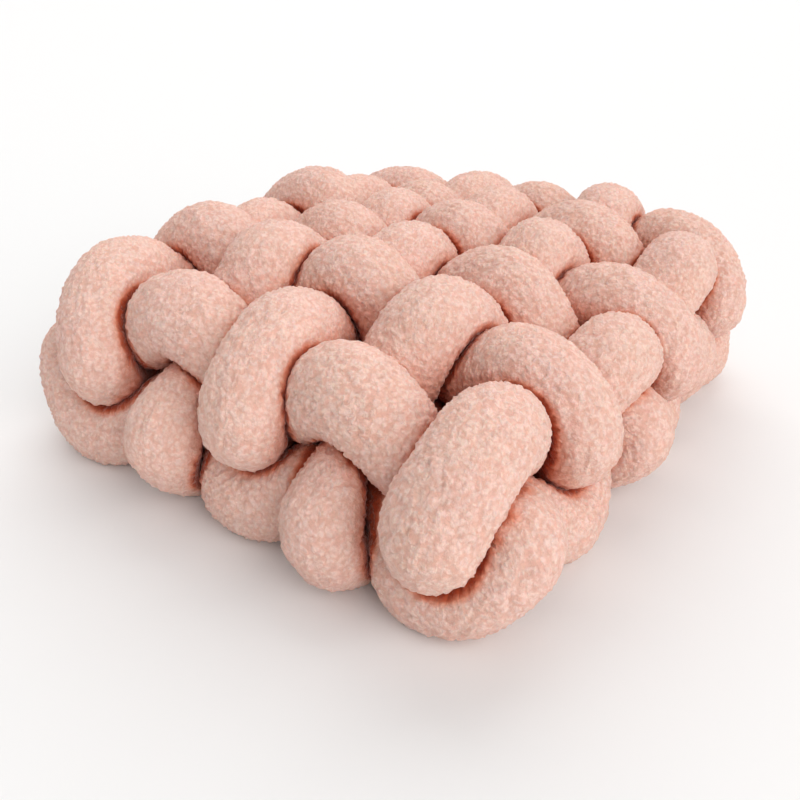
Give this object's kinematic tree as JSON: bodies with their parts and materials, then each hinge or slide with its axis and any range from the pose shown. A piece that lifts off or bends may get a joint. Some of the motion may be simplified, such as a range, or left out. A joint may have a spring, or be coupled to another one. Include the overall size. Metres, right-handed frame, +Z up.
{
  "type": "knot cushion",
  "caption": "Thick, nearly square cushion woven from fat stuffed tubes of curly pile cloth, which turn round its edges and come back along the underside.",
  "frame": {"origin": "on the ground under the middle of the cushion", "axes": "+Z up through the cushion's thickness, +Y along the warp tubes towards the back, +X along the weft tubes"},
  "size_m": [0.4299, 0.5128, 0.1679],
  "materials": {
    "cloth": "peach pink curly pile, matt"
  },
  "bodies": {
    "root": {"warp_0": "cloth", "warp_1": "cloth", "warp_2": "cloth", "warp_3": "cloth", "warp_4": "cloth", "weft_0": "cloth", "weft_1": "cloth", "weft_2": "cloth", "weft_3": "cloth", "weft_4": "cloth", "weft_5": "cloth"}
  },
  "joints": []
}
